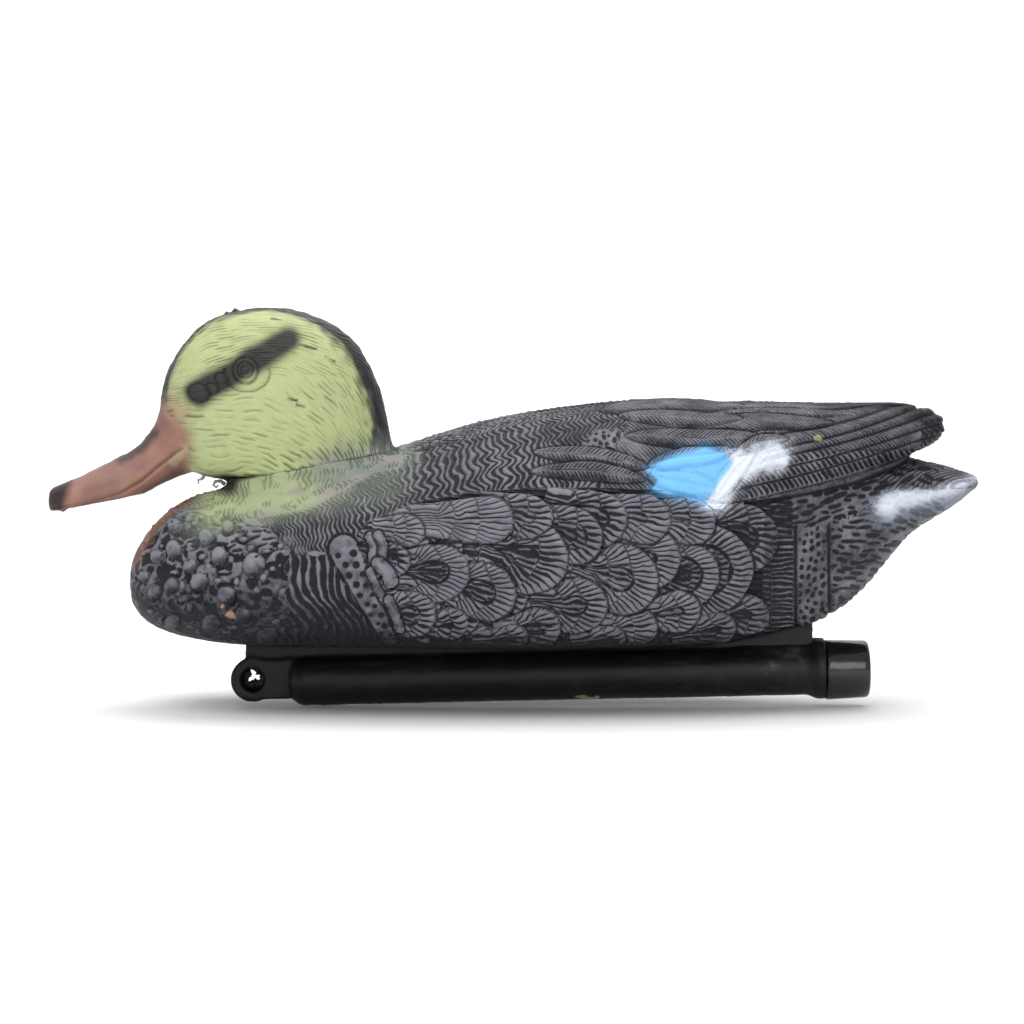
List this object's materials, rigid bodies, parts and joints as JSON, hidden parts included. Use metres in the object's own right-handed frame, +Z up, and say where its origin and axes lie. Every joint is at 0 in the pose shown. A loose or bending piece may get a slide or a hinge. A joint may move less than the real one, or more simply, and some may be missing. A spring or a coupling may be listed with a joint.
{
  "type": "floating duck decoy",
  "caption": "Hollow floating duck decoy with moulded feather relief, a fixed head and a ballast keel tube closed by a push-on cap.",
  "frame": {"origin": "on the waterline and the centre plane, midway between bill tip and tail tip", "axes": "+X towards the tail, +Z up, +Y towards the decoy's right side; its bill points to -X"},
  "size_m": [0.3701, 0.1362, 0.1583],
  "materials": {
    "body_paint": "black plastic, dry-brushed grey over moulded feathers, with a blue wing patch",
    "head_paint": "yellow-green paint with a dark eye stripe, orange-brown bill",
    "keel_black": "bare matte black",
    "cap_black": "bare glossy black",
    "seal_rubber": "matte",
    "ballast_sand": "loose dry sand",
    "foam": "closed-cell foam"
  },
  "bodies": {
    "decoy": {"body_shell": "body_paint", "head_shell": "head_paint", "keel_tube": "keel_black", "sealing_ring": "seal_rubber", "ballast_sand": "ballast_sand", "foam_stopper": "foam"},
    "cap_seal": {"cap_liner": "seal_rubber"},
    "cap": {"keel_cap": "cap_black"}
  },
  "joints": [
    {"name": "cap_pull", "type": "slide", "parent": "decoy", "child": "cap_seal", "axis": [0.9998, 0, 0.0209], "range_m": [0, 0.06]},
    {"name": "cap_turn", "type": "hinge", "parent": "cap_seal", "child": "cap", "pos_m": [0.13697, 0, -0.02753], "axis": [0.9998, 0, 0.0209], "continuous": true}
  ]
}
